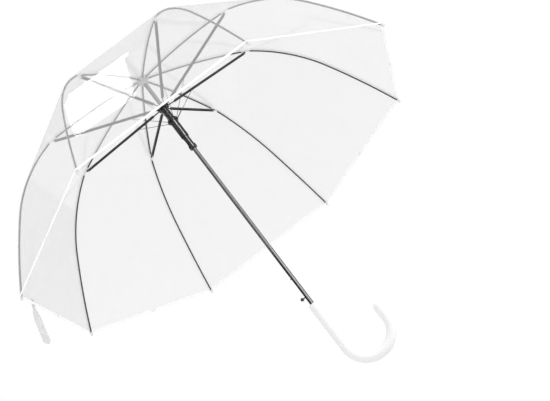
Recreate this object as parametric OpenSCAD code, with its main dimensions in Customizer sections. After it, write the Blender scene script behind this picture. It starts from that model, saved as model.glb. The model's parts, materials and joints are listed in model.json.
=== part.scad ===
// Clear bubble umbrella, open. Origin at the centre of the straight grip, +Z up the shaft.
// The hook points along +X, and the release button is on the -X side.

/* [Frame] */
// Number of ribs
ribs = 8; // [8]
// Distance from the rib pivots down to the top of the handle
crown_to_handle = 615; // [600:5:640]
// Radius of the circle of rib pivots
crown_pivot_r = 11; // [11:0.1:11.4]
// Radius of the rib rods
rod_r = 1.5; // [1.4:0.05:1.6]
// Arc length of the rib's inner stretch, up to the stretcher clip
inner_l = 233.4; // [232:0.2:235]
// Arc length of the rib's middle stretch, over the shoulder
mid_l = 169.7; // [168:0.1:171]
// Arc length of the rib's outer stretch, down to the hem
tip_l = 187.5; // [180:0.5:190]
// Distance of the rivet below the rib's axis
clip_drop = 4.6; // [4.5:0.1:5]
// Distance of the rivet from the first flex joint, along the rib
clip_back = 8; // [7:0.5:10]

/* [Shaft and runner] */
// Radius of the shaft
shaft_r = 4.25; // [4:0.05:4.4]
// Radius of the hub pivots of the stretchers
hub_pivot_r = 12; // [11.8:0.1:12.2]
// Depth of the runner's hub pivots below the rib pivots
hub_drop = 82; // [81:0.5:84]
// Radius of the spring ring's pivots
ring_pivot_r = 10.6; // [10.5:0.1:11]
// Depth of the spring ring's pivots below the rib pivots
ring_drop = 121; // [120:0.5:122]
// Distance of the wire rivet from the hub end of a stretcher
wire_rivet_l = 67; // [64:0.5:70]
// Radius of the wires
wire_r = 0.55; // [0.45:0.05:0.55]
// Length of the runner below its hub pivots
runner_l = 118; // [110:1:122]

/* [Canopy] */
// Distance of the film's inner face from the rib's axis
film_gap = 2.4; // [2.2:0.1:2.6]
// Thickness of the film's solid
film_t = 0.8; // [0.6:0.1:1.2]
// Distance of the hem from the rib's tip
hem_back = 3.5; // [3:0.5:6]

/* [Handle] */
// Radius of the handle's tube
grip_r = 9.4; // [9:0.1:10]
// Length of the straight grip
grip_l = 104; // [90:1:110]
// Radius of the hook's centreline
hook_r = 47; // [40:1:50]
// Length of the hook's straight tip
hook_tip_l = 24; // [10:1:30]

/* [Top] */
// Length of the tube above the crown
top_tube_l = 66; // [50:1:80]
// Radius of the tube above the crown
top_tube_r = 7.5; // [6:0.1:8]

/* [Tie strap] */
// Length of the strap
strap_l = 70; // [66:1:90]
// Width of the strap
strap_w = 11; // [9:1:13]
// Distance of the strap's middle from the nearest rib, along the hem
strap_from_rib = 59; // [50:1:80]

/* [Hidden] */
$fn = 48;

// Slopes of the rib below the horizontal, where each stretch starts and ends
inner_a = [4.6, 16.6];
mid_a = [27, 57];
tip_a = [59, 67];

crown_z = grip_l / 2 + crown_to_handle;
bay = 360 / ribs;
first_rib = bay / 2;

// Radius of an arc from its length and its two slopes
function bend_r(l, a) = l / ((a[1] - a[0]) * PI / 180);
// Centre of an arc that starts at p
function bend_c(p, a, r) = p - r * [sin(a[0]), cos(a[0])];
// Point of an arc at a slope, moved outward by off
function bend_at(c, r, slope, off = 0) = c + (r + off) * [sin(slope), cos(slope)];

rib_c = [crown_pivot_r, 0];
inner_r = bend_r(inner_l, inner_a);
inner_c = bend_c(rib_c, inner_a, inner_r);
flex_j = bend_at(inner_c, inner_r, inner_a[1]);
mid_r = bend_r(mid_l, mid_a);
mid_c = bend_c(flex_j, mid_a, mid_r);
flex_k = bend_at(mid_c, mid_r, mid_a[1]);
tip_r = bend_r(tip_l, tip_a);
tip_c = bend_c(flex_k, tip_a, tip_r);
rib_end = bend_at(tip_c, tip_r, tip_a[1]);

// Rivet that carries the stretcher, and the two pivots of the wire
clip_slope = inner_a[1] - clip_back / inner_r * 180 / PI;
clip_p = bend_at(inner_c, inner_r, clip_slope, -clip_drop);
hub_p = [hub_pivot_r, -hub_drop];
stretcher_l = norm(clip_p - hub_p);
stretcher_rise = atan2(clip_p[1] - hub_p[1], clip_p[0] - hub_p[0]);
wire_p = hub_p + wire_rivet_l * [cos(stretcher_rise), sin(stretcher_rise)];
ring_p = [ring_pivot_r, -ring_drop];
wire_l = norm(wire_p - ring_p);
wire_rise = atan2(wire_p[1] - ring_p[1], wire_p[0] - ring_p[0]);

ball_r = 1.7;
ball_gap = 0.08;
socket_back = 0.95;
tongue_t = 1.6;
eye_r = 1.5;
pin_r = 0.55;
pin_gap = 0.08;
slot_floor_r = 9.2;
slot_w = 4.4;

// Puts a piece drawn in the X-Z plane at rib k, with the rib pivots' height as zero
module at_rib(k) {
    rotate([0, 0, first_rib + k * bay]) translate([0, 0, crown_z]) children();
}

// Puts a piece at a point of the X-Z plane, turned up by rise degrees
module at_point(p, rise = 0) {
    translate([p[0], 0, p[1]]) rotate([0, -rise, 0]) children();
}

// Round bar along Y through the origin
module cross_pin(r, w) {
    rotate([90, 0, 0]) cylinder(r = r, h = w, center = true);
}

// Round rod bent between slopes from and to, on the arc with centre c and radius r
module bent_rod(c, r, from, to, thick) {
    translate([c[0], 0, c[1]]) rotate([90, 0, 0]) rotate([0, 0, 90 - to])
        rotate_extrude(angle = to - from, $fn = 180) translate([r, 0]) circle(r = thick);
}

// Plate in the X-Z plane with a round end at the origin and a pin hole
module eye_tongue(l, h, t, hole_r) {
    difference() {
        union() {
            cross_pin(h / 2, t);
            translate([0, -t / 2, -h / 2]) cube([l, t, h]);
        }
        cross_pin(hole_r, t + 1);
    }
}

// Slots for the eight arms of a hub, open outward, upward and downward
module arm_slots(w, h) {
    for (k = [0 : ribs - 1])
        rotate([0, 0, first_rib + k * bay]) translate([slot_floor_r, -w / 2, -h / 2]) cube([10, w, h]);
}

shaft_wall = 0.6;
shaft_foot = 60;
shaft_top = 50;
window_gap = 0.3;
module shaft() {
    foot_z = grip_l / 2 - shaft_foot;
    length = crown_z + shaft_top - foot_z;
    window_foot = button_z - 3;
    window_top = latch_z + bar_over_catch + 2;
    color("silver") difference() {
        translate([0, 0, foot_z]) cylinder(r = shaft_r, h = length);
        translate([0, 0, foot_z - 1]) cylinder(r = shaft_r - shaft_wall, h = length + 2);
        // Window for the catch and the button's stem
        translate([-shaft_r - 1, -latch_w / 2 - window_gap, window_foot])
            cube([4, latch_w + 2 * window_gap, window_top - window_foot]);
        translate([0, 0, crown_z + stop_z]) rotate([0, 90, 0])
            cylinder(r = stop_pin_r, h = 20, center = true);
    }
}

// Pin across the shaft that stops the runner when the umbrella is open
stop_pin_r = 1;
stop_pin_l = 12;
stop_z = 3.7 - hub_drop;
module stop_pin() {
    color("dimgray") translate([0, 0, crown_z + stop_z]) rotate([0, 90, 0])
        cylinder(r = stop_pin_r, h = stop_pin_l, center = true);
}

// Slotted disc that carries the ribs, with a neck below it
notch_top = 1.9;
notch_foot = 3.6;
notch_r = 12.8;
neck_r = 7.2;
neck_foot = 12;
press_gap = 0.02;
module crown_notch() {
    color("black") translate([0, 0, crown_z]) difference() {
        union() {
            translate([0, 0, -notch_foot]) cylinder(r = notch_r, h = notch_foot + notch_top);
            translate([0, 0, -neck_foot]) cylinder(r = neck_r, h = neck_foot - 1);
        }
        translate([0, 0, -neck_foot - 1]) cylinder(r = shaft_r + press_gap, h = neck_foot + 8);
        arm_slots(tongue_t + 0.6, 12);
        rotate_extrude() translate([crown_pivot_r, 0]) circle(r = pin_r + press_gap);
    }
}

module crown_ring_wire() {
    color("gray") translate([0, 0, crown_z]) rotate_extrude()
        translate([crown_pivot_r, 0]) circle(r = pin_r);
}

// Washer over the film, in two cones
cap_z = film_gap + film_t + 0.9;
cap_foot_h = 2;
cap_rise_h = 2.5;
module crown_cap() {
    color("gainsboro") translate([0, 0, crown_z + cap_z]) difference() {
        union() {
            cylinder(r1 = 12.5, r2 = 11, h = cap_foot_h);
            translate([0, 0, cap_foot_h]) cylinder(r1 = 11, r2 = 8.6, h = cap_rise_h);
        }
        translate([0, 0, -1]) cylinder(r = shaft_r + press_gap, h = 8);
    }
}

tube_z = cap_z + cap_foot_h + cap_rise_h + 0.1;
module top_tube() {
    color("white") translate([0, 0, crown_z + tube_z]) difference() {
        cylinder(r = top_tube_r, h = top_tube_l);
        translate([0, 0, -1]) cylinder(r = shaft_r + press_gap, h = 45);
    }
}

// Half ball with a flat top
cap_flat_z = 3;
module top_cap() {
    color("whitesmoke") translate([0, 0, crown_z + tube_z + top_tube_l + press_gap]) difference() {
        sphere(r = top_tube_r);
        translate([-10, -10, -20]) cube(20);
        translate([-10, -10, cap_flat_z]) cube(20);
    }
}

socket_l = 60;
module handle() {
    color("white") difference() {
        union() {
            translate([0, 0, -grip_l / 2]) cylinder(r = grip_r, h = grip_l);
            translate([hook_r, 0, -grip_l / 2]) rotate([90, 0, 0]) rotate([0, 0, 180])
                rotate_extrude(angle = 180, $fn = 180) translate([hook_r, 0]) circle(r = grip_r);
            translate([2 * hook_r, 0, -grip_l / 2]) cylinder(r = grip_r, h = hook_tip_l);
            translate([2 * hook_r, 0, hook_tip_l - grip_l / 2]) sphere(r = grip_r);
        }
        translate([0, 0, grip_l / 2 - socket_l]) cylinder(r = shaft_r + press_gap, h = socket_l + 1);
    }
}

hub_t = 5;
hub_r = 13.4;
sleeve_r = 6;
slide_gap = 0.08;
grip_top = ring_drop + hub_t / 2 + 0.6 - hub_drop;
grip_sleeve_l = 44;
grip_sleeve_r = 8.4;
waist_l = 26;
waist_r = 6.7;
latch_w = 3;
catch_window_z = 11;
catch_window_h = 12;
module runner() {
    color([0.08, 0.08, 0.09]) translate([0, 0, crown_z - hub_drop]) difference() {
        union() {
            translate([0, 0, -hub_t / 2]) cylinder(r = hub_r, h = hub_t);
            translate([0, 0, -runner_l]) cylinder(r = sleeve_r, h = runner_l);
            translate([0, 0, -grip_top - grip_sleeve_l - waist_l]) cylinder(r = waist_r, h = waist_l);
        }
        translate([0, 0, -runner_l - 1]) cylinder(r = shaft_r + slide_gap, h = runner_l + 10);
        arm_slots(slot_w, hub_t + 2);
        // Window that the catch springs into when the umbrella is closed
        translate([-9, -latch_w / 2 - 0.4, catch_window_z - runner_l])
            cube([5, latch_w + 0.8, catch_window_h]);
    }
}

module runner_grip() {
    color([0.1, 0.1, 0.11]) translate([0, 0, crown_z - hub_drop - grip_top - grip_sleeve_l])
        difference() {
            cylinder(r = grip_sleeve_r, h = grip_sleeve_l);
            translate([0, 0, -1]) cylinder(r = sleeve_r + press_gap, h = grip_sleeve_l + 2);
        }
}

end_ring_r = 8.2;
end_ring_l = 7;
module runner_end_ring() {
    color([0.07, 0.07, 0.08]) translate([0, 0, crown_z - hub_drop - runner_l]) difference() {
        cylinder(r = end_ring_r, h = end_ring_l);
        translate([0, 0, -1]) cylinder(r = sleeve_r + press_gap, h = end_ring_l + 2);
    }
}

// Space that the coil fills between the hub and the spring ring
coil_r = 7.9;
coil_gap = 0.3;
module opening_spring() {
    spring_top = hub_t / 2 + coil_gap;
    spring_end = ring_drop - hub_drop - hub_t / 2 - coil_gap;
    color("dimgray") translate([0, 0, crown_z - hub_drop - spring_end]) difference() {
        cylinder(r = coil_r, h = spring_end - spring_top);
        translate([0, 0, -1]) cylinder(r = sleeve_r + coil_gap, h = spring_end);
    }
}

spring_ring_r = 12;
module spring_ring() {
    color("black") translate([0, 0, crown_z - ring_drop]) difference() {
        translate([0, 0, -hub_t / 2]) cylinder(r = spring_ring_r, h = hub_t);
        translate([0, 0, -hub_t]) cylinder(r = sleeve_r + slide_gap, h = 2 * hub_t);
        arm_slots(slot_w, hub_t + 2);
    }
}

button_z = grip_l / 2 + 20;
latch_z = button_z + 45;
knob_r = 3.4;
knob_x = 10.6;
knob_l = 2.8;
stem_w = 2;
bar_x = 3.2;
bar_t = 1.2;
bar_over_catch = 6;
catch_x = 2.6;
module release_button() {
    color("black") union() {
        translate([-knob_x, 0, button_z]) sphere(r = knob_r);
        translate([knob_l - knob_x, 0, button_z]) rotate([0, -90, 0]) cylinder(r = knob_r, h = knob_l);
        translate([-knob_x, -stem_w / 2, button_z - stem_w / 2])
            cube([knob_x - bar_x + bar_t, stem_w, stem_w]);
        translate([-bar_x, -stem_w / 2, button_z - stem_w / 2])
            cube([bar_t, stem_w, latch_z - button_z + bar_over_catch]);
        // Catch with a sloped top, over which the runner slides down
        translate([-catch_x, latch_w / 2, latch_z]) rotate([90, 0, 0])
            linear_extrude(height = latch_w) polygon([[0, 0], [-3, 0], [-3, 0.8], [0, 3.4]]);
    }
}

hem_slope = tip_a[1] - hem_back / tip_r * 180 / PI;
film_start_r = 5;

// Points inside a stretch of the film's profile, cut into n equal steps
function film_steps(c, r, a, n, off) =
    [for (i = [1 : n - 1]) bend_at(c, r, a[0] + (a[1] - a[0]) * i / n, off)];
// Point of the film over a flex joint, on the line that halves the turn between slopes a and b
function film_corner(p, a, b, off) = p + off / cos((b - a) / 2) * [sin((a + b) / 2), cos((a + b) / 2)];
// Film profile: points of the rib's line moved outward by off
function film_profile(off) = concat(
    [[film_start_r, off + 0.3], [crown_pivot_r, off + 0.2]],
    film_steps(inner_c, inner_r, inner_a, 6, off),
    [film_corner(flex_j, inner_a[1], mid_a[0], off)],
    film_steps(mid_c, mid_r, mid_a, 10, off),
    [film_corner(flex_k, mid_a[1], tip_a[0], off)],
    film_steps(tip_c, tip_r, [tip_a[0], hem_slope], 6, off),
    [bend_at(tip_c, tip_r, hem_slope, off)]
);

// Closed film: eight gores, each ruled straight from rib to rib
module canopy() {
    outer = film_profile(film_gap + film_t);
    inner = film_profile(film_gap);
    loop = concat(outer, [for (i = [len(inner) - 1 : -1 : 0]) inner[i]]);
    n = len(loop);
    points = [for (k = [0 : ribs - 1]) for (p = loop)
        [p[0] * cos(first_rib + k * bay), p[0] * sin(first_rib + k * bay), p[1]]];
    faces = [for (k = [0 : ribs - 1]) for (i = [0 : n - 1])
        let (a = k * n + i, b = k * n + (i + 1) % n, q = ((k + 1) % ribs) * n)
        each [[a, b, q + i], [b, q + (i + 1) % n, q + i]]];
    color([0.9, 0.95, 1, 0.3]) translate([0, 0, crown_z]) polyhedron(points = points, faces = faces);
}

// Strap: the tab lies on the gore at -X, and the strap goes on along its slope
hem_p = bend_at(tip_c, tip_r, hem_slope, film_gap + film_t);
gore_x = -hem_p[0] * cos(first_rib);
gore_lean = atan(cos(first_rib) / tan(hem_slope));
strap_y = -hem_p[0] * sin(first_rib) + strap_from_rib;
strap_t = 1;
tab_over_film = 0.4;
tab_foot = 1;
tab_l = 12;
// Gap between the tab and the strap, where the film bends
strap_bend = 0.8;
module at_strap() {
    translate([gore_x, strap_y, crown_z + hem_p[1]]) rotate([0, gore_lean, 0])
        translate([-strap_t / 2 - tab_over_film, 0, 0]) children();
}

module strap_tab() {
    color([0.93, 0.95, 0.97]) at_strap() translate([-strap_t / 2, -strap_w / 2 - 1, -tab_foot])
        cube([strap_t, strap_w + 2, tab_l]);
}

module tie_strap() {
    color([0.92, 0.95, 0.97]) at_strap() difference() {
        union() {
            translate([-strap_t / 2, -strap_w / 2, strap_w / 2 - strap_l])
                cube([strap_t, strap_w, strap_l - strap_w / 2 - tab_foot - strap_bend]);
            translate([0, 0, strap_w / 2 - strap_l]) rotate([0, 90, 0])
                cylinder(r = strap_w / 2, h = strap_t, center = true);
        }
        translate([0, 0, snap_z]) rotate([0, 90, 0]) cylinder(r = snap_hole_r, h = 5, center = true);
    }
}

// Press stud with a socket on the inner side and a cap on the outer side
snap_z = 8 - strap_l;
snap_hole_r = 1.6;
module strap_snap() {
    color("white") at_strap() translate([0, 0, snap_z]) rotate([0, 90, 0]) union() {
        translate([0, 0, -2.2]) cylinder(r = 4.2, h = 1.6);
        translate([0, 0, -1]) cylinder(r = snap_hole_r - 0.05, h = 2.2);
        translate([0, 0, 0.6]) cylinder(r = 3.4, h = 1.2);
    }
}

module rib_inner(k) {
    tongue_l = 9;
    rod_from = inner_a[0] + 7 / inner_r * 180 / PI;
    rod_to = inner_a[1] - socket_back / inner_r * 180 / PI;
    color("dimgray") at_rib(k) {
        difference() {
            union() {
                bent_rod(inner_c, inner_r, rod_from, rod_to, rod_r);
                at_point(rib_c, -inner_a[0]) eye_tongue(tongue_l, 2 * eye_r, tongue_t, pin_r + pin_gap);
            }
            at_point(flex_j) sphere(r = ball_r + ball_gap);
        }
        rib_clip();
    }
}

// Moulded clip on the rib, with the hole for the stretcher's rivet
module rib_clip() {
    half_l = 4.5;
    half_slope = half_l / inner_r * 180 / PI;
    difference() {
        union() {
            bent_rod(inner_c, inner_r, clip_slope - half_slope, clip_slope + half_slope, rod_r + 0.35);
            at_point(clip_p, -clip_slope) cross_pin(1.9, 2.6);
            at_point(clip_p, -clip_slope) translate([-1.9, -1.3, 0]) cube([3.8, 2.6, clip_drop]);
        }
        bent_rod(inner_c, inner_r, clip_slope - 2 * half_slope, clip_slope + 2 * half_slope, rod_r + 0.02);
        at_point(clip_p) cross_pin(rivet_r + pin_gap, 6);
    }
}

module rib_mid(k) {
    rod_to = mid_a[1] - socket_back / mid_r * 180 / PI;
    color("dimgray") at_rib(k) difference() {
        union() {
            bent_rod(mid_c, mid_r, mid_a[0], rod_to, rod_r);
            at_point(flex_j) sphere(r = ball_r);
        }
        at_point(flex_k) sphere(r = ball_r + ball_gap);
    }
}

module rib_tip(k) {
    color("dimgray") at_rib(k) union() {
        bent_rod(tip_c, tip_r, tip_a[0], tip_a[1], rod_r);
        at_point(flex_k) sphere(r = ball_r);
        at_point(rib_end) sphere(r = ball_r);
    }
}

channel_w = 5;
channel_wall = 0.6;
channel_top = 2;
channel_foot = 1.4;
rivet_r = 0.9;
flat_l = 22;
flat_t = 1;
// Pressed channel, open downward, with a flat end at the hub and a rivet at each end of its work
module stretcher(k) {
    ear_l = 5;
    color([0.12, 0.12, 0.13]) at_rib(k) at_point(hub_p, stretcher_rise) {
        union() {
            difference() {
                translate([flat_l - 4, -channel_w / 2, -channel_foot])
                    cube([stretcher_l - flat_l + 4, channel_w, channel_foot + channel_top]);
                translate([flat_l - 5, -channel_w / 2 + channel_wall, -channel_foot - 1])
                    cube([stretcher_l, channel_w - 2 * channel_wall,
                        channel_foot + channel_top + 1 - channel_wall]);
                translate([stretcher_l - ear_l, -channel_w / 2 + channel_wall, 0])
                    cube([ear_l + 1, channel_w - 2 * channel_wall, 5]);
            }
            for (side = [-1, 1])
                translate([stretcher_l, side * (channel_w - channel_wall) / 2, 0])
                    cross_pin(channel_top, channel_wall);
            eye_tongue(flat_l, 2.4, flat_t, 0.6);
            translate([flat_l - 4, -flat_t / 2, -0.2]) cube([6, flat_t, channel_top - 0.1]);
            translate([wire_rivet_l, 0, 0]) cross_pin(0.5, channel_w + 0.8);
            translate([stretcher_l, 0, 0]) cross_pin(rivet_r, channel_w + 1);
        }
    }
}

wire_side = 1.25;
// Thin wire beside the stretcher's middle plane, with an eye on the stretcher's rivet
module wire(k) {
    color("dimgray") at_rib(k) translate([0, wire_side, 0]) at_point(ring_p, wire_rise) difference() {
        union() {
            rotate([0, 90, 0]) cylinder(r = wire_r, h = wire_l);
            translate([wire_l, 0, 0]) cross_pin(1.1, 2 * wire_r);
            sphere(r = 0.75);
        }
        translate([wire_l, 0, 0]) cross_pin(0.5 + pin_gap, 4);
    }
}

shaft();
stop_pin();
crown_notch();
crown_ring_wire();
crown_cap();
top_tube();
top_cap();
handle();
runner();
runner_grip();
runner_end_ring();
opening_spring();
spring_ring();
release_button();
canopy();
strap_tab();
tie_strap();
strap_snap();
for (k = [0 : ribs - 1]) {
    rib_inner(k);
    rib_mid(k);
    rib_tip(k);
    stretcher(k);
    wire(k);
}
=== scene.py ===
"""Clear bubble umbrella: its film, small fittings and materials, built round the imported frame."""

import json
import math

import bpy
from mathutils import Euler, Matrix, Vector


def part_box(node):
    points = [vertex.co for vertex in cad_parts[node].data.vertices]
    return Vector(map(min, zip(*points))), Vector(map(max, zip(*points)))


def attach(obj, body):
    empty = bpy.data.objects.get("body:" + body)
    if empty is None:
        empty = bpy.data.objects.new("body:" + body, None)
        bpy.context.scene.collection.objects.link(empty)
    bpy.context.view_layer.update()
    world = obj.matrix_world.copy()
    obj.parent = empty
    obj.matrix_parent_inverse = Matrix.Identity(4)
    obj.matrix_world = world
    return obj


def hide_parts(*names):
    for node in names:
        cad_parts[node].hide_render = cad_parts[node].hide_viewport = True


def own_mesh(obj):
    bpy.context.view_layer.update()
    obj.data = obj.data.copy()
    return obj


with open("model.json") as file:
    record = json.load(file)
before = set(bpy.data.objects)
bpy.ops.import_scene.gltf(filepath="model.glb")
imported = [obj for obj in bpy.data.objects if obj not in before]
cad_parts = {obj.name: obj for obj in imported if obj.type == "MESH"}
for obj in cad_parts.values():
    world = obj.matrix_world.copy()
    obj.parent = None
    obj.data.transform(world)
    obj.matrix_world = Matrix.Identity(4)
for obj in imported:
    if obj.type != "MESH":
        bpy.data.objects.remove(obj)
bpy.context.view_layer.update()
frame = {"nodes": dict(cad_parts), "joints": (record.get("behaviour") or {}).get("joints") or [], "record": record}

MM = 0.001
RIBS = 8
BAY = 2 * math.pi / RIBS
FIRST_RIB = BAY / 2

# ---------------------------------------------------------------- frame facts
joints = {joint["name"]: joint for joint in frame["joints"]}


def pivot(name):
    """A hinge's place as (distance from the shaft's axis, height), in metres."""
    x, y, z = joints[name]["pos_m"]
    return Vector((math.hypot(x, y), z))


CROWN = pivot("rib_inner_hinge_0")
FLEX_J = pivot("rib_mid_hinge_0")
FLEX_K = pivot("rib_tip_hinge_0")
CROWN_Z = CROWN.y

# Slopes of the rib below the horizontal, in degrees, where each stretch starts and ends
INNER_SLOPES = (4.6, 16.6)
MID_SLOPES = (27.0, 57.0)
TIP_SLOPES = (59.0, 67.0)
TIP_LENGTH = 187.5 * MM
HEM_BACK = 3.5 * MM
FILM_OFF = 2.8 * MM


def direction(slope):
    return Vector((math.cos(math.radians(slope)), -math.sin(math.radians(slope))))


def outward(slope):
    return Vector((math.sin(math.radians(slope)), math.cos(math.radians(slope))))


class Arc:
    """A stretch of the rib's line in the (radius, height) plane."""

    def __init__(self, start, slopes, chord=None, length=None):
        self.slopes = slopes
        turn = math.radians(slopes[1] - slopes[0])
        self.radius = chord / (2 * math.sin(turn / 2)) if chord else length / turn
        self.centre = start - self.radius * outward(slopes[0])

    def at(self, slope, off=0.0):
        return self.centre + (self.radius + off) * outward(slope)


inner_arc = Arc(CROWN, INNER_SLOPES, chord=(FLEX_J - CROWN).length)
mid_arc = Arc(FLEX_J, MID_SLOPES, chord=(FLEX_K - FLEX_J).length)
tip_arc = Arc(FLEX_K, TIP_SLOPES, length=TIP_LENGTH)
RIB_END = tip_arc.at(TIP_SLOPES[1])
HEM_SLOPE = TIP_SLOPES[1] - math.degrees(HEM_BACK / tip_arc.radius)


def frange(first, last, count):
    return [first + (last - first) * i / (count - 1) for i in range(count)]


def radial(azimuth):
    return Vector((math.cos(azimuth), math.sin(azimuth), 0))


def in_row(point, azimuth):
    """A point of the (radius, height) plane, turned to an azimuth."""
    out = radial(azimuth) * point.x
    return Vector((out.x, out.y, point.y))


# ---------------------------------------------------------------- materials
def new_material(name):
    material = bpy.data.materials.new(name)
    material.use_nodes = True
    material.node_tree.nodes.clear()
    return material


class Graph:
    """Short names for making and linking the shader nodes of a material or a world."""

    def __init__(self, owner):
        self.tree = owner.node_tree

    def node(self, kind, **values):
        made = self.tree.nodes.new(kind)
        for key, value in values.items():
            setattr(made, key, value)
        return made

    def link(self, source, target):
        self.tree.links.new(source, target)

    def coordinates(self):
        return self.node("ShaderNodeTexCoord").outputs["Object"]

    def noise(self, scale, detail=3.0, rough=0.5, vector=None):
        made = self.node("ShaderNodeTexNoise")
        made.inputs["Scale"].default_value = scale
        made.inputs["Detail"].default_value = detail
        made.inputs["Roughness"].default_value = rough
        self.link(vector or self.coordinates(), made.inputs["Vector"])
        return made.outputs["Fac"]

    def ramp(self, value, low, high, low_at=0.0, high_at=1.0):
        made = self.node("ShaderNodeMapRange")
        made.inputs["From Min"].default_value = low_at
        made.inputs["From Max"].default_value = high_at
        made.inputs["To Min"].default_value = low
        made.inputs["To Max"].default_value = high
        self.link(value, made.inputs["Value"])
        return made.outputs["Result"]

    def mix_colour(self, fac, first, second):
        """A mix of two colours, each three numbers or a socket."""
        made = self.node("ShaderNodeMix", data_type="RGBA")
        self.link(fac, made.inputs["Factor"])
        sockets = [s for s in made.inputs if s.type == "RGBA"]
        for socket, colour in zip(sockets, (first, second)):
            if isinstance(colour, tuple):
                socket.default_value = (*colour, 1)
            else:
                self.link(colour, socket)
        return [s for s in made.outputs if s.type == "RGBA"][0]

    def maths(self, operation, first, second=None, third=None):
        """A Math node; each value is a number or a socket."""
        made = self.node("ShaderNodeMath", operation=operation)
        for socket, value in zip(made.inputs, (first, second, third)):
            if isinstance(value, (int, float)):
                socket.default_value = value
            elif value is not None:
                self.link(value, socket)
        return made.outputs["Value"]

    def bump(self, height, strength, distance):
        made = self.node("ShaderNodeBump")
        made.inputs["Strength"].default_value = strength
        made.inputs["Distance"].default_value = distance
        self.link(height, made.inputs["Height"])
        return made.outputs["Normal"]

    def finish(self, shader):
        self.link(shader, self.node("ShaderNodeOutputMaterial").inputs["Surface"])


def solid_material(name, dark, light, rough, metal=0.0, grain=220.0, bump=0.08, coat=0.0, **plain):
    """A Principled surface with a fine colour drift, uneven roughness and a fine bump."""
    material = new_material(name)
    graph = Graph(material)
    shader = graph.node("ShaderNodeBsdfPrincipled")
    drift = graph.noise(35.0, 4.0)
    fine = graph.noise(grain, 5.0, 0.6)
    graph.link(graph.mix_colour(drift, dark, light), shader.inputs["Base Color"])
    graph.link(graph.ramp(fine, rough[0], rough[1], 0.3, 0.7), shader.inputs["Roughness"])
    graph.link(graph.bump(fine, bump, 0.0002), shader.inputs["Normal"])
    shader.inputs["Metallic"].default_value = metal
    shader.inputs["Coat Weight"].default_value = coat
    shader.inputs["Coat Roughness"].default_value = 0.08
    for key, value in plain.items():
        shader.inputs[key.replace("_", " ")].default_value = value
    graph.finish(shader.outputs["BSDF"])
    return material


def film_material(name, tint, haze, haze_colour, rough=0.01, wave=0.02, gloss=0.12):
    """Clear film: light passes straight through a slight tint, and the surface mirrors by Fresnel."""
    material = new_material(name)
    graph = Graph(material)
    ripple = graph.bump(graph.noise(9.0, 2.0, 0.4), wave, 0.004)
    through = graph.node("ShaderNodeBsdfTransparent")
    through.inputs["Color"].default_value = (*tint, 1)
    milk = graph.node("ShaderNodeBsdfDiffuse")
    milk.inputs["Color"].default_value = (*haze_colour, 1)
    body = graph.node("ShaderNodeMixShader")
    cloud = graph.ramp(graph.noise(14.0, 3.0), haze * 0.97, haze * 1.03, 0.3, 0.7)
    graph.link(cloud, body.inputs["Fac"])
    graph.link(through.outputs["BSDF"], body.inputs[1])
    graph.link(milk.outputs["BSDF"], body.inputs[2])
    mirror = graph.node("ShaderNodeBsdfGlossy")
    mirror.inputs["Color"].default_value = (1, 1, 1, 1)
    mirror.inputs["Roughness"].default_value = rough
    graph.link(ripple, mirror.inputs["Normal"])
    fresnel = graph.node("ShaderNodeFresnel")
    fresnel.inputs["IOR"].default_value = 1.52
    strength = graph.ramp(fresnel.outputs["Fac"], 0.0, gloss)
    surface = graph.node("ShaderNodeMixShader")
    graph.link(strength, surface.inputs["Fac"])
    graph.link(body.outputs["Shader"], surface.inputs[1])
    graph.link(mirror.outputs["BSDF"], surface.inputs[2])
    graph.finish(surface.outputs["Shader"])
    return material


def rib_material():
    """Dark enamel on the rod, and pale moulded plastic where the stretcher's clip grips it."""
    material = new_material("rib_enamel")
    graph = Graph(material)
    shader = graph.node("ShaderNodeBsdfPrincipled")
    split = graph.node("ShaderNodeSeparateXYZ")
    graph.link(graph.coordinates(), split.inputs["Vector"])
    squares = [graph.maths("MULTIPLY", split.outputs[axis], split.outputs[axis]) for axis in "XY"]
    reach = graph.maths("SQRT", graph.maths("ADD", *squares))
    on_sleeve = graph.maths("COMPARE", reach, CLIP_R + SLEEVE_MIDDLE, SLEEVE_HALF)
    enamel = graph.mix_colour(graph.noise(60.0), (0.022, 0.022, 0.024), (0.04, 0.04, 0.042))
    graph.link(graph.mix_colour(on_sleeve, enamel, SLEEVE_COLOUR), shader.inputs["Base Color"])
    fine = graph.noise(300.0, 4.0)
    graph.link(graph.ramp(fine, 0.28, 0.42, 0.3, 0.7), shader.inputs["Roughness"])
    graph.link(graph.bump(fine, 0.06, 0.0001), shader.inputs["Normal"])
    shader.inputs["Coat Weight"].default_value = 0.15
    graph.finish(shader.outputs["BSDF"])
    return material


def brushed_material(name, dark, light, rough):
    """Drawn steel: streaks that run along the shaft."""
    material = new_material(name)
    graph = Graph(material)
    shader = graph.node("ShaderNodeBsdfPrincipled")
    stretch = graph.node("ShaderNodeMapping")
    stretch.inputs["Scale"].default_value = (1, 1, 0.01)
    graph.link(graph.coordinates(), stretch.inputs["Vector"])
    lines = graph.noise(1400.0, 4.0, 0.6, stretch.outputs["Vector"])
    graph.link(graph.mix_colour(lines, dark, light), shader.inputs["Base Color"])
    graph.link(graph.ramp(lines, rough[0], rough[1], 0.3, 0.7), shader.inputs["Roughness"])
    graph.link(graph.bump(lines, 0.1, 0.0001), shader.inputs["Normal"])
    shader.inputs["Metallic"].default_value = 1.0
    graph.finish(shader.outputs["BSDF"])
    return material


# Distance of the clip from the shaft's axis, and the pale sleeve that lies beside it on the rod
CLIP_R = math.hypot(*joints["stretcher_hinge_0"]["pos_m"][:2])
SLEEVE_MIDDLE = 4 * MM
SLEEVE_HALF = 9 * MM
SLEEVE_COLOUR = (0.72, 0.74, 0.76)

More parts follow.
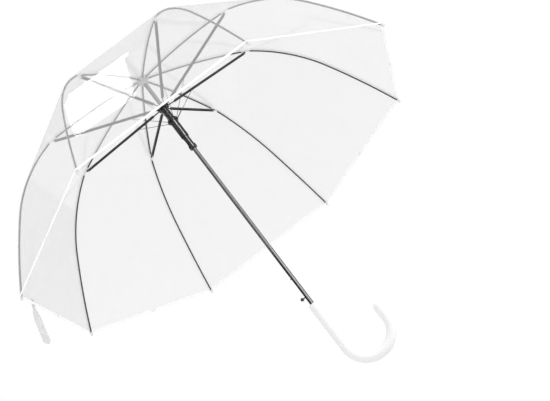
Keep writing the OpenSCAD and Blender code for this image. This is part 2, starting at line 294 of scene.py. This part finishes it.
film = film_material("clear_film", (0.895, 0.895, 0.897), 0.28, (0.97, 0.97, 0.97))
seam_film = film_material(
    "welded_seam", (0.93, 0.93, 0.93), 0.12, (0.97, 0.97, 0.97), rough=0.2, wave=0.05, gloss=0.2
)
hem_film = film_material(
    "hem_film", (1.0, 1.0, 1.0), 1.0, (1.0, 1.0, 1.0), rough=0.35, wave=0.05, gloss=0.02
)
strap_film = film_material(
    "strap_film", (0.9, 0.9, 0.905), 0.5, (0.86, 0.86, 0.865), rough=0.2, wave=0.05, gloss=0.25
)
steel = brushed_material("shaft_steel", (0.26, 0.26, 0.265), (0.34, 0.34, 0.345), (0.12, 0.2))
spring_steel = solid_material(
    "spring_steel", (0.06, 0.06, 0.065), (0.12, 0.12, 0.125), (0.3, 0.45), metal=0.6
)
stretcher_enamel = solid_material(
    "stretcher_enamel", (0.02, 0.02, 0.022), (0.04, 0.04, 0.043), (0.32, 0.5), coat=0.1
)
black_plastic = solid_material(
    "black_plastic", (0.014, 0.014, 0.016), (0.026, 0.026, 0.029), (0.16, 0.24), bump=0.1
)
button_plastic = solid_material(
    "button_plastic", (0.03, 0.03, 0.032), (0.05, 0.05, 0.053), (0.12, 0.2), bump=0.05
)
handle_plastic = solid_material(
    "handle_plastic", (0.81, 0.81, 0.815), (0.85, 0.85, 0.855), (0.4, 0.5), grain=90.0, bump=0.02,
    coat=0.0, Specular_IOR_Level=0.3,
)
pale_plastic = solid_material(
    "pale_plastic", (0.72, 0.72, 0.73), (0.8, 0.8, 0.81), (0.25, 0.4), grain=150.0, bump=0.06, coat=0.2
)
grey_plastic = solid_material(
    "grey_plastic", (0.46, 0.46, 0.47), (0.54, 0.54, 0.55), (0.3, 0.45), grain=150.0, bump=0.08
)
rib_enamel = rib_material()

SLOT_MATERIALS = {
    "clear_film": film, "strap_film": strap_film, "handle_plastic": handle_plastic,
    "pale_plastic": pale_plastic, "black_plastic": black_plastic, "button_plastic": button_plastic,
    "grey_plastic": grey_plastic, "steel": steel, "spring_steel": spring_steel,
    "rib_enamel": rib_enamel, "stretcher_enamel": stretcher_enamel,
}
for part in frame["record"]["subparts"]:
    shape = frame["nodes"][part["node"]]
    shape.data.materials.clear()
    shape.data.materials.append(SLOT_MATERIALS[part["material_slot"]])


# ---------------------------------------------------------------- mesh helpers
def add_piece(name, vertices, faces, material, body, normals=None):
    mesh = bpy.data.meshes.new(name)
    mesh.from_pydata([tuple(v) for v in vertices], [], faces)
    mesh.update()
    for polygon in mesh.polygons:
        polygon.use_smooth = True
    if normals:
        mesh.normals_split_custom_set_from_vertices([tuple(n) for n in normals])
    mesh.materials.append(material)
    piece = bpy.data.objects.new(name, mesh)
    bpy.context.scene.collection.objects.link(piece)
    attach(piece, body)
    return piece


def grid_faces(rows, columns, closed=False):
    """Quads of a grid of points in row order; closed joins the last column to the first."""
    across = columns if closed else columns - 1
    return [
        (i * columns + j, i * columns + (j + 1) % columns,
         (i + 1) * columns + (j + 1) % columns, (i + 1) * columns + j)
        for i in range(rows - 1) for j in range(across)
    ]


def lathe(profile, sides, place):
    """Vertices and faces of a turned shape. profile holds (radius, height) pairs; place maps points."""
    turns = [2 * math.pi * j / sides for j in range(sides)]
    vertices = [
        place @ Vector((r * math.cos(turn), r * math.sin(turn), z)) for r, z in profile for turn in turns
    ]
    faces = grid_faces(len(profile), sides, closed=True)
    faces.append(tuple(reversed(range(sides))))
    faces.append(tuple(range((len(profile) - 1) * sides, len(profile) * sides)))
    return vertices, faces


def tube(path, radius, sides):
    """Vertices and faces of a round bar along a path, with flat ends."""
    vertices = []
    side = Vector((0, 0, 1))
    for i, point in enumerate(path):
        ahead = (path[min(i + 1, len(path) - 1)] - path[max(i - 1, 0)]).normalized()
        side = (side - ahead * side.dot(ahead)).normalized()
        other = ahead.cross(side)
        for j in range(sides):
            turn = 2 * math.pi * j / sides
            vertices.append(point + radius * (math.cos(turn) * side + math.sin(turn) * other))
    faces = grid_faces(len(path), sides, closed=True)
    faces.append(tuple(reversed(range(sides))))
    faces.append(tuple(range((len(path) - 1) * sides, len(path) * sides)))
    return vertices, faces


# ---------------------------------------------------------------- canopy film
FILM_START = 4.7 * MM                      # the film's inner edge, from the shaft's axis
ACROSS = 7                                 # points across a half gore
INNER_STEPS, MID_STEPS, TIP_STEPS = 14, 16, 12
SHOULDER = 9 * MM                          # length of the rounded turn on each side of the shoulder
SHOULDER_REACH = 0.62 * SHOULDER
SHOULDER_STEPS = 9


def corner(first, second, reach, steps):
    """Points of a smooth turn from first to second, two (point, slope) pairs that lie reach apart."""
    (p0, a0), (p3, a3) = first, second
    p1, p2 = p0 + direction(a0) * reach, p3 - direction(a3) * reach
    points = []
    for t in frange(0, 1, steps):
        s = 1 - t
        point = p0 * s**3 + p1 * 3 * s * s * t + p2 * 3 * s * t * t + p3 * t**3
        points.append((point, a0 + (a3 - a0) * t))
    return points


def stretch(arc, first, last, count):
    return [(arc.at(a, FILM_OFF), a) for a in frange(first, last, count)]


def film_lines():
    """The film's line over a rib as three lists of (point, slope): inner, mid and tip stretch."""
    inner_last = INNER_SLOPES[1] - math.degrees(SHOULDER / inner_arc.radius)
    mid_first = MID_SLOPES[0] + math.degrees(SHOULDER / mid_arc.radius)
    rounded = corner(
        (inner_arc.at(inner_last, FILM_OFF), inner_last), (mid_arc.at(mid_first, FILM_OFF), mid_first),
        SHOULDER_REACH, SHOULDER_STEPS,
    )
    crown_point = Vector((FILM_START, CROWN_Z + FILM_OFF + 0.3 * MM))
    inner = [(crown_point, 0.0)] + stretch(inner_arc, INNER_SLOPES[0], inner_last, INNER_STEPS)[:-1]
    inner += rounded[:5]
    joint_slope = (MID_SLOPES[1] + TIP_SLOPES[0]) / 2
    over_joint = (FLEX_K + outward(joint_slope) * FILM_OFF, joint_slope)
    mid = rounded[4:-1] + stretch(mid_arc, mid_first, MID_SLOPES[1] - 1, MID_STEPS) + [over_joint]
    tip = [over_joint] + stretch(tip_arc, TIP_SLOPES[0] + 0.3, HEM_SLOPE, TIP_STEPS)
    return {"inner": inner, "mid": mid, "tip": tip}


def gore_point(point, rib_azimuth, side, share):
    """A point of the film: share 0 over the rib, 1 at the gore's middle; level lines are straight."""
    over_rib = radial(rib_azimuth) * point.x
    middle = radial(rib_azimuth + side * BAY / 2) * point.x * math.cos(BAY / 2)
    out = over_rib.lerp(middle, share)
    return Vector((out.x, out.y, point.y))


def gore_normal(slope, rib_azimuth, side):
    """The film's outward normal, the same all the way across a level line."""
    lean = math.atan2(math.tan(math.radians(slope)), math.cos(BAY / 2))
    out = radial(rib_azimuth + side * BAY / 2)
    return (out * math.sin(lean) + Vector((0, 0, math.cos(lean)))).normalized()


def half_gore(k, side, stage, line):
    azimuth = FIRST_RIB + k * BAY
    body = f"rib_{stage}_{k}"
    vertices, normals = [], []
    for point, slope in line:
        for share in frange(0, 1, ACROSS):
            vertices.append(gore_point(point, azimuth, side, share))
            normals.append(gore_normal(slope, azimuth, side))
    faces = grid_faces(len(line), ACROSS)
    if side > 0:
        faces = [tuple(reversed(face)) for face in faces]
    letter = "a" if side < 0 else "b"
    name = f"film_{stage}_{k}{letter}"
    piece = add_piece(name, vertices, faces, film, body, normals)
    pieces = []
    if stage == "tip":
        pieces.append(hem_strip(k, side, line, azimuth, body, letter))
    for item in [piece] + pieces:
        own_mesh(item)
    return piece


HEM_WIDTH = 6 * MM
HEM_THICK = 0.5 * MM
HEM_BELOW = 0.6 * MM
HEM_STEPS = 13


def hem_strip(k, side, line, azimuth, body, letter):
    """Folded and welded hem: a flat band with a rounded lower edge, round both faces of the film."""
    end, slope = line[-1]
    rows = [
        (HEM_WIDTH, 0.15), (HEM_WIDTH - 0.5 * MM, 0.5), (1.2 * MM, 0.5), (0.3 * MM, 0.35), (0.0, 0.0)
    ]
    loop = rows + [(back, -off) for back, off in reversed(rows[:-1])]
    vertices = []
    normal = gore_normal(slope, azimuth, side)
    for share in frange(0, 1, HEM_STEPS):
        for back, off in loop:
            point = gore_point(end - direction(slope) * (back - HEM_BELOW), azimuth, side, share)
            vertices.append(point + normal * off * HEM_THICK)
    faces = grid_faces(HEM_STEPS, len(loop), closed=True)
    faces.append(tuple(range(len(loop))))
    faces.append(tuple(reversed(range((HEM_STEPS - 1) * len(loop), HEM_STEPS * len(loop)))))
    if side < 0:
        faces = [tuple(reversed(face)) for face in faces]
    return add_piece(f"hem_{k}{letter}", vertices, faces, hem_film, body)


SEAM_HALF = 3.4 * MM
SEAM_LIFT = 0.15 * MM
SEAM_SHARES = (-1, -0.55, -0.1, 0.1, 0.55, 1)


def seam_band(k, stage, line):
    """The welded seam of two gores: a narrow band that follows the ridge over a rib."""
    azimuth = FIRST_RIB + k * BAY
    vertices, normals = [], []
    for point, slope in line:
        ridge = in_row(point, azimuth)
        for share in SEAM_SHARES:
            side = 1 if share > 0 else -1
            normal = gore_normal(slope, azimuth, side)
            toward = (gore_point(point, azimuth, side, 1) - ridge).normalized()
            half = min(SEAM_HALF, 0.8 * point.x * math.sin(BAY / 2))
            vertices.append(ridge + toward * abs(share) * half + normal * SEAM_LIFT)
            normals.append(normal)
    faces = [tuple(reversed(face)) for face in grid_faces(len(line), len(SEAM_SHARES))]
    name, body = f"seam_{stage}_{k}", f"rib_{stage}_{k}"
    return add_piece(name, vertices, faces, seam_film, body, normals)


lines = film_lines()
film_pieces = []
for k in range(RIBS):
    for stage, line in lines.items():
        seam_band(k, stage, line)
        for side in (-1, 1):
            film_pieces.append(half_gore(k, side, stage, line))
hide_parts("canopy")


# ---------------------------------------------------------------- fittings on the ribs
def turned_to(direction_3d, place):
    """A matrix that puts a turned shape's Z axis along a direction, at a place."""
    return Matrix.Translation(place) @ direction_3d.to_track_quat("Z", "Y").to_matrix().to_4x4()


def tip_cap(k):
    """Moulded cap on the rib's end, which holds the hem."""
    azimuth = FIRST_RIB + k * BAY
    along = in_row(direction(TIP_SLOPES[1]), azimuth)
    profile = [(1.75, -6.0), (2.1, -5.8), (2.15, -1.2), (2.7, -0.9), (2.85, 0.2), (2.7, 1.3),
               (2.1, 2.2), (1.2, 2.8), (0.3, 3.0)]
    vertices, faces = lathe([(r * MM, z * MM) for r, z in profile], 24,
                            turned_to(along, in_row(RIB_END, azimuth)))
    return add_piece(f"tip_cap_{k}", vertices, faces, pale_plastic, f"rib_tip_{k}")


for k in range(RIBS):
    tip_cap(k)


# ---------------------------------------------------------------- opening spring
def opening_spring():
    """Coil between the runner's hub and the spring ring, built as one rigid piece carried on the runner."""
    low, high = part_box("opening_spring")
    wire, turns, steps = 0.7 * MM, 7.5, 30
    mean = high.x - wire
    bottom, top = low.z + wire, high.z - wire
    path = []
    for i in range(int(turns * steps) + 1):
        t = i / (turns * steps)
        turn = 2 * math.pi * turns * t
        path.append(Vector((mean * math.cos(turn), mean * math.sin(turn), bottom + (top - bottom) * t)))
    vertices, faces = tube(path, wire, 10)
    piece = add_piece("opening_spring_coil", vertices, faces, spring_steel, "runner")
    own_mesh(piece)
    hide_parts("opening_spring")


opening_spring()


# ---------------------------------------------------------------- tie strap
STRAP_THICK = 0.35 * MM


def strap_frame():
    """The strap's hinge, and the directions down it, out of the film, and across."""
    place = joints["strap_swing"]["pos_m"]
    lean = math.atan2(math.cos(BAY / 2), math.tan(math.radians(HEM_SLOPE)))
    down = Vector((-math.sin(lean), 0, -math.cos(lean)))
    out = Vector((-math.cos(lean), 0, math.sin(lean)))
    return Vector(place), down, out, Vector((0, 1, 0))


def strap_sheet(name, node, first, last, half, place):
    """A thin film with a welded rim; place gives its middle line and its two directions at a length."""
    rows, columns = 34, 9
    vertices = []
    for face_side in (1, -1):
        for t in frange(first, last, rows):
            left = last - t
            width = half
            if node == "tie_strap" and left < half:
                width = math.sqrt(max(half * half - (half - left) ** 2, (0.8 * MM) ** 2))
            middle, across, out = place(t)
            for s in frange(-1, 1, columns):
                rim = 0.12 * MM if abs(s) > 0.7 else 0.0
                vertices.append(middle + across * s * width + out * face_side * (STRAP_THICK + rim))
    count = rows * columns
    faces = grid_faces(rows, columns)
    faces += [tuple(reversed([i + count for i in face])) for face in grid_faces(rows, columns)]
    edge = list(range(columns))
    edge += [(r + 1) * columns - 1 for r in range(1, rows)]
    edge += [rows * columns - 2 - i for i in range(columns - 1)]
    edge += [r * columns for r in range(rows - 2, 0, -1)]
    for i, a in enumerate(edge):
        b = edge[(i + 1) % len(edge)]
        faces.append((b, a, a + count, b + count))
    piece = add_piece(name, vertices, faces, strap_film, node)
    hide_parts(node)
    return piece


STUD_FROM_END = 7.4 * MM


def press_stud(middle, across, out):
    """Press stud through the strap: a socket on the inner side and a domed cap on the outer side."""
    profile = [(0.3, -2.2), (3.6, -2.2), (4.2, -1.8), (4.2, -1.0), (3.8, -0.6), (1.55, -0.5),
               (1.55, 0.5), (3.2, 0.6), (3.4, 0.9), (3.1, 1.5), (2.2, 1.8), (0.3, 1.9)]
    place = Matrix.Translation(middle) @ Matrix((across, out.cross(across), out)).transposed().to_4x4()
    vertices, faces = lathe([(r * MM, z * MM) for r, z in profile], 32, place)
    stud = add_piece("press_stud", vertices, faces, pale_plastic, "tie_strap")
    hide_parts("strap_snap")


def strap_pieces():
    """The strap, which twists and sways to the side below the hem, and its flat welded patch."""
    hinge, down, out, across = strap_frame()
    low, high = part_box("tie_strap")
    half = (high.y - low.y) / 2
    length = (Vector((low.x, 0, low.z)) - Vector((hinge.x, 0, hinge.z))).length - 0.6 * MM
    twist_start, twist_end = 3 * MM, 0.45 * length
    twist = math.radians(68)
    sway_at_end = 42 * MM

    def flat(t):
        return hinge + down * t, across, out

    def twisted(t):
        share = min(max((t - twist_start) / twist_end, 0), 1)
        turn = -twist * share * share * (3 - 2 * share)
        sway = sway_at_end * (max(t, 0) / length) ** 1.3
        middle = hinge + down * t + across * sway
        c, s = math.cos(turn), math.sin(turn)
        return middle, across * c + out * s, out * c - across * s

    for name, node, first, last, wide, place, held in (
        ("tie_strap_film", "tie_strap", 0.5 * MM, length, half + 1 * MM, twisted, "hung"),
        ("strap_patch_film", "strap_tab", -12.5 * MM, 0.2 * MM, half + 0.8 * MM, flat, "laid"),
    ):
        piece = strap_sheet(name, node, first, last, wide, place)
    press_stud(*twisted(length - STUD_FROM_END))


strap_pieces()


# ---------------------------------------------------------------- camera
LENS_MM = 65.7
SENSOR_MM = 36.0
camera_data = bpy.data.cameras.new("camera")
camera_data.lens = LENS_MM
camera_data.sensor_width = SENSOR_MM
camera = bpy.data.objects.new("camera", camera_data)
bpy.context.scene.collection.objects.link(camera)
camera.location = (0.0, -1.832, CROWN_Z - 1.135)
VIEW_AZIMUTH, VIEW_RISE, VIEW_ROLL = 2.018, 21.847, -38.008
looking = Euler((math.radians(90 + VIEW_RISE), 0, math.radians(-VIEW_AZIMUTH)), "XYZ").to_matrix()
camera.matrix_world = (
    Matrix.Translation(camera.location)
    @ looking.to_4x4()
    @ Matrix.Rotation(math.radians(VIEW_ROLL), 4, "Z")
)
bpy.context.scene.camera = camera


# ---------------------------------------------------------------- studio
def soft_light(name, place, aim, size, power):
    data = bpy.data.lights.new(name, "AREA")
    data.shape = "RECTANGLE"
    data.size, data.size_y = size
    data.energy = power
    lamp = bpy.data.objects.new(name, data)
    lamp.location = place
    lamp.rotation_euler = (Vector(aim) - Vector(place)).to_track_quat("-Z", "Y").to_euler()
    bpy.context.scene.collection.objects.link(lamp)
    return lamp


soft_light("key", (2.6, -1.3, 1.3), (0, 0, 0.2), (1.2, 1.2), 10)

# A window that only the film sees, and only as its mirror image
window = soft_light("window", (-0.115, -0.35, 1.6), (-0.115, -0.35, 0.5), (0.21, 0.5), 12)
window.rotation_euler = Euler((0, 0, math.radians(-7)), "XYZ")
window.visible_diffuse = False


def shine_only_on(lamp, receivers):
    lit = bpy.data.collections.new(lamp.name + "_receivers")
    for receiver in receivers:
        lit.objects.link(receiver)
    lamp.light_linking.receiver_collection = lit


shine_only_on(window, film_pieces)

# A light that only the handle sees, for the shade down its side
handle_light = soft_light("handle_light", (2.6, -0.6, 1.5), (0, 0, 0), (0.8, 0.8), 28)
shine_only_on(handle_light, [frame["nodes"]["handle"]])

# A strip that only the runner's dark pieces see, for the line of light down their side
strip = soft_light("strip", (0.86, -1.23, 1.35), (0, 0, CROWN_Z - 0.14), (0.35, 0.5), 26)
runner_pieces = ("runner", "runner_grip", "runner_end_ring", "spring_ring")
shine_only_on(strip, [frame["nodes"][name] for name in runner_pieces])

world = bpy.data.worlds.new("studio")
bpy.context.scene.world = world
world.use_nodes = True
world.node_tree.nodes.clear()
sky = Graph(world)


def band(towards, low, high, soft):
    """1 where the direction's share towards an axis lies between low and high, with soft edges."""
    share = sky.node("ShaderNodeVectorMath", operation="DOT_PRODUCT")
    sky.link(ray_direction, share.inputs[0])
    share.inputs[1].default_value = towards
    edges = []
    for start, end in ((low - soft, low + soft), (high + soft, high - soft)):
        edge = sky.node("ShaderNodeMapRange", interpolation_type="SMOOTHSTEP")
        sky.link(share.outputs["Value"], edge.inputs["Value"])
        edge.inputs["From Min"].default_value = start
        edge.inputs["From Max"].default_value = end
        edges.append(edge.outputs["Result"])
    return sky.maths("MULTIPLY", *edges)


def backdrop(strength):
    made = sky.node("ShaderNodeBackground")
    made.inputs["Color"].default_value = (1, 1, 1, 1)
    made.inputs["Strength"].default_value = strength
    return made.outputs["Background"]


def choose(fac, first, second):
    made = sky.node("ShaderNodeMixShader")
    sky.link(fac, made.inputs["Fac"])
    sky.link(first, made.inputs[1])
    sky.link(second, made.inputs[2])
    return made.outputs["Shader"]


# White studio, with a broad dark screen that only mirror surfaces see
ray_direction = sky.node("ShaderNodeTexCoord").outputs["Generated"]
screen = sky.maths(
    "MULTIPLY", band((0.5, -0.866, 0.0), -0.9, 0.72, 0.08), band((0.0, 0.0, 1.0), -0.6, 0.62, 0.1)
)
rays = sky.node("ShaderNodeLightPath")
mirrored = sky.maths("MULTIPLY", screen, rays.outputs["Is Glossy Ray"])
lighting = choose(mirrored, backdrop(1.1), backdrop(0.04))
seen = choose(rays.outputs["Is Camera Ray"], lighting, backdrop(1.0))
sky.link(seen, sky.node("ShaderNodeOutputWorld").inputs["Surface"])

FLOOR_HALF, FLOOR_Z = 20.0, -2.6
floor_mesh = bpy.data.meshes.new("floor")
corners = [(x * FLOOR_HALF, y * FLOOR_HALF, FLOOR_Z) for x, y in ((-1, -1), (1, -1), (1, 1), (-1, 1))]
floor_mesh.from_pydata(corners, [], [(0, 1, 2, 3)])
floor = bpy.data.objects.new("floor", floor_mesh)
bpy.context.scene.collection.objects.link(floor)
floor_mesh.materials.append(
    solid_material("floor_paint", (0.86, 0.86, 0.86), (0.9, 0.9, 0.9), (0.7, 0.85), grain=8.0, bump=0.02)
)

bpy.context.scene.view_settings.view_transform = "Standard"
